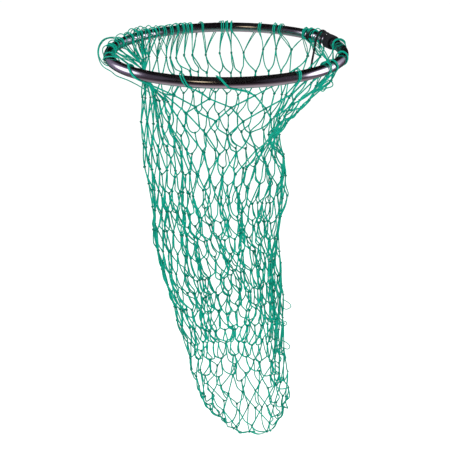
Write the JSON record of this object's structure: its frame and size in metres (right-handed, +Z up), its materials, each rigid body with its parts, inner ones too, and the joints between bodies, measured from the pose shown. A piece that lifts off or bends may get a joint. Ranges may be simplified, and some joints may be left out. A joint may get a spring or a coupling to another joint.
{
  "type": "fishing net on a hoop",
  "caption": "Deep bag of knotted diamond-mesh twine, threaded by its top meshes on a round steel hoop, with a black cord tied to the hoop.",
  "frame": {"origin": "centreline of the hoop's tube at the middle of its back, where something left out holds the hoop level", "axes": "+Z up, the way the net hangs down from; +Y to the back; +X to the right; the hoop's centre is 0.205 m along -Y"},
  "size_m": [0.434, 0.4308, 0.8799],
  "materials": {
    "polished_steel": "polished stainless steel tube with fine drawing lines",
    "net_twine": "twisted green polyethylene twine, slightly glossy",
    "black_cord": "black braided cord"
  },
  "bodies": {
    "root": {"hoop": "polished_steel", "net": "net_twine", "tie": "black_cord", "tie_start": "black_cord", "tie_long_end": "black_cord"}
  },
  "joints": []
}
